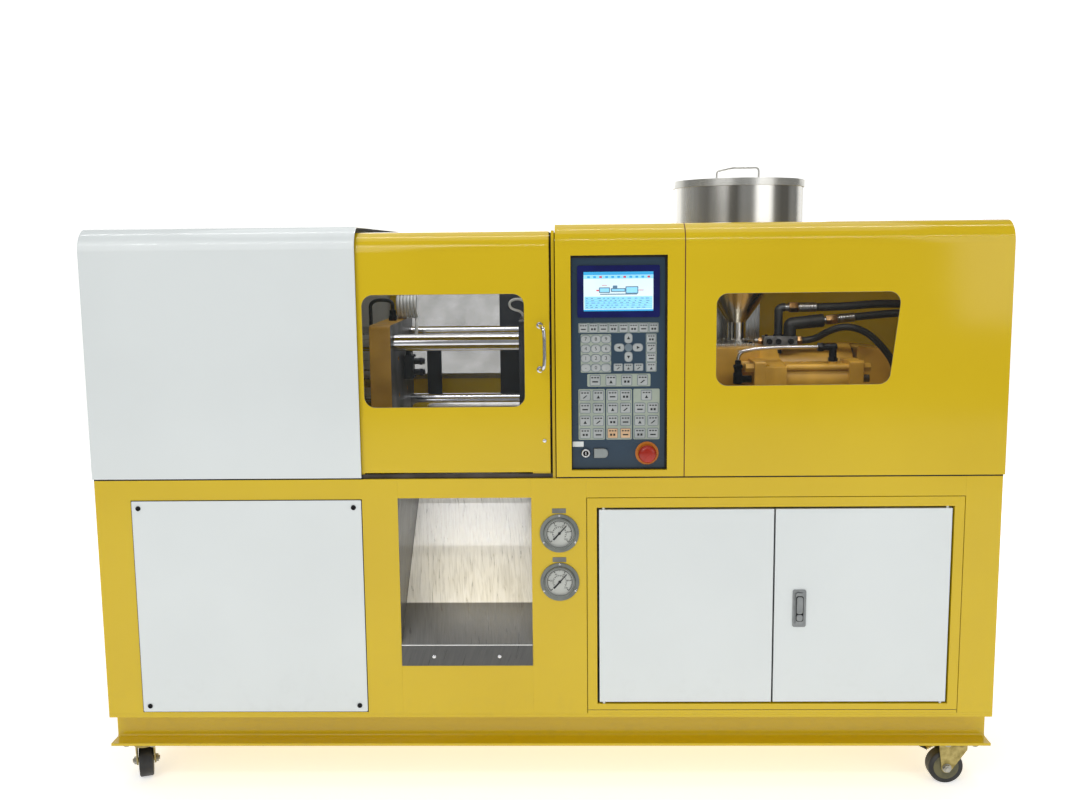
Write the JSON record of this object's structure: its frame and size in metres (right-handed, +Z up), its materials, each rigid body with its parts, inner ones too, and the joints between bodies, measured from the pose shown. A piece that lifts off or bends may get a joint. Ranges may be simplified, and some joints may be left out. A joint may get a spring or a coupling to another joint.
{
  "type": "injection molding machine",
  "caption": "Horizontal plastic injection molding machine on a wheeled cabinet, with arched covers, sliding safety doors, control panel, hopper, clamp unit and product chute.",
  "frame": {"origin": "floor level under the middle of the machine's overall box", "axes": "+X along the machine towards the injection end, -Y towards the operator, +Z up"},
  "size_m": [2.044, 0.768, 1.4455],
  "materials": {
    "gloss_yellow": "gloss yellow enamel on sheet steel",
    "gloss_white": "gloss white enamel on sheet steel",
    "machine_yellow": "yellow machine enamel on castings",
    "dark_paint": "dark grey paint",
    "stainless": "brushed stainless sheet",
    "bright_steel": "ground and chromed bar",
    "zinc_steel": "zinc plated steel",
    "pipe_steel": "grey steel fittings",
    "clear_pane": "clear polycarbonate pane",
    "panel_blue": "blue grey panel enamel",
    "screen_navy": "gloss navy bezel",
    "key_grey": "matt grey membrane keys",
    "stop_red": "gloss red plastic",
    "gauge_grey": "grey steel flange",
    "black_rubber": "black rubber hose",
    "black_tread": "black tread",
    "seal_black": "black foam seal",
    "coil_white": "white nylon tube"
  },
  "bodies": {
    "machine": {"access_panels": "gloss_white", "barrel": "zinc_steel", "base_channels_end": "gloss_yellow", "base_channels_long": "gloss_yellow", "cabinet_floor": "gloss_yellow", "cabinet_walls": "gloss_yellow", "caster_plates": "zinc_steel", "chute": "stainless", "clamp_cover": "gloss_white", "control_housing": "gloss_yellow", "control_panel": "panel_blue", "cover_window": "clear_pane", "door_frame": "gloss_yellow", "door_rails": "zinc_steel", "electric_cabinet_box": "gloss_white", "emergency_stop": "stop_red", "feed_plate": "stainless", "fixed_platen": "machine_yellow", "front_rails": "gloss_yellow", "front_walls": "gloss_yellow", "hopper": "stainless", "hopper_lid": "stainless", "hose_fittings": "pipe_steel", "hydraulic_hoses": "black_rubber", "injection_base": "machine_yellow", "injection_cover": "gloss_yellow", "injection_cylinder": "machine_yellow", "injection_housing": "machine_yellow", "keypad": "key_grey", "machine_bed": "gloss_yellow", "motor_cover": "machine_yellow", "pressure_gauges": "gauge_grey", "rear_platen": "machine_yellow", "rear_uprights": "dark_paint", "screen": "screen_navy", "seal_strips": "seal_black", "tie_bars": "bright_steel", "tie_rod_cylinders": "machine_yellow"},
    "front_door": {"safety_door_front": "gloss_yellow", "door_window_front": "clear_pane", "door_handle_front": "bright_steel"},
    "rear_door": {"safety_door_rear": "gloss_yellow", "door_window_rear": "clear_pane", "door_handle_rear": "bright_steel"},
    "cabinet_door_left": {"cabinet_door_left": "gloss_white"},
    "cabinet_door_right": {"cabinet_door_right": "gloss_white", "door_lock": "bright_steel"},
    "moving_platen": {"moving_platen": "machine_yellow", "clamp_ram": "bright_steel", "platen_manifold": "dark_paint", "coil_hose": "coil_white", "platen_hose": "black_rubber"},
    "caster_fork_front_left": {"caster_fork_front_left": "zinc_steel"},
    "caster_wheel_front_left": {"caster_wheel_front_left": "black_tread"},
    "caster_fork_front_right": {"caster_fork_front_right": "zinc_steel"},
    "caster_wheel_front_right": {"caster_wheel_front_right": "black_tread"},
    "caster_fork_rear_left": {"caster_fork_rear_left": "zinc_steel"},
    "caster_wheel_rear_left": {"caster_wheel_rear_left": "black_tread"},
    "caster_fork_rear_right": {"caster_fork_rear_right": "zinc_steel"},
    "caster_wheel_rear_right": {"caster_wheel_rear_right": "black_tread"}
  },
  "joints": [
    {"name": "front_door_slide", "type": "slide", "parent": "machine", "child": "front_door", "axis": [-1, 0, 0], "range_m": [0, 0.36]},
    {"name": "rear_door_slide", "type": "slide", "parent": "machine", "child": "rear_door", "axis": [-1, 0, 0], "range_m": [0, 0.36]},
    {"name": "cabinet_door_left_hinge", "type": "hinge", "parent": "machine", "child": "cabinet_door_left", "pos_m": [0.1325, -0.345, 0.442], "axis": [0, 0, -1], "range_deg": [0, 110]},
    {"name": "cabinet_door_right_hinge", "type": "hinge", "parent": "machine", "child": "cabinet_door_right", "pos_m": [0.9015, -0.345, 0.442], "axis": [0, 0, 1], "range_deg": [0, 110]},
    {"name": "platen_slide", "type": "slide", "parent": "machine", "child": "moving_platen", "axis": [1, 0, 0], "range_m": [0, 0.2]},
    {"name": "caster_swivel_front_left", "type": "hinge", "parent": "machine", "child": "caster_fork_front_left", "pos_m": [-0.96, -0.3, 0.1], "axis": [0, 0, 1], "continuous": true},
    {"name": "caster_spin_front_left", "type": "hinge", "parent": "caster_fork_front_left", "child": "caster_wheel_front_left", "pos_m": [-0.96958, -0.27369, 0.04], "axis": [-0.9397, -0.342, 0], "continuous": true},
    {"name": "caster_swivel_front_right", "type": "hinge", "parent": "machine", "child": "caster_fork_front_right", "pos_m": [0.96, -0.3, 0.1], "axis": [0, 0, 1], "continuous": true},
    {"name": "caster_spin_front_right", "type": "hinge", "parent": "caster_fork_front_right", "child": "caster_wheel_front_right", "pos_m": [0.932, -0.3, 0.04], "axis": [0, -1, 0], "continuous": true},
    {"name": "caster_swivel_rear_left", "type": "hinge", "parent": "machine", "child": "caster_fork_rear_left", "pos_m": [-0.96, 0.3, 0.1], "axis": [0, 0, 1], "continuous": true},
    {"name": "caster_spin_rear_left", "type": "hinge", "parent": "caster_fork_rear_left", "child": "caster_wheel_rear_left", "pos_m": [-0.932, 0.3, 0.04], "axis": [0, 1, 0], "continuous": true},
    {"name": "caster_swivel_rear_right", "type": "hinge", "parent": "machine", "child": "caster_fork_rear_right", "pos_m": [0.96, 0.3, 0.1], "axis": [0, 0, 1], "continuous": true},
    {"name": "caster_spin_rear_right", "type": "hinge", "parent": "caster_fork_rear_right", "child": "caster_wheel_rear_right", "pos_m": [0.932, 0.3, 0.04], "axis": [0, -1, 0], "continuous": true}
  ]
}
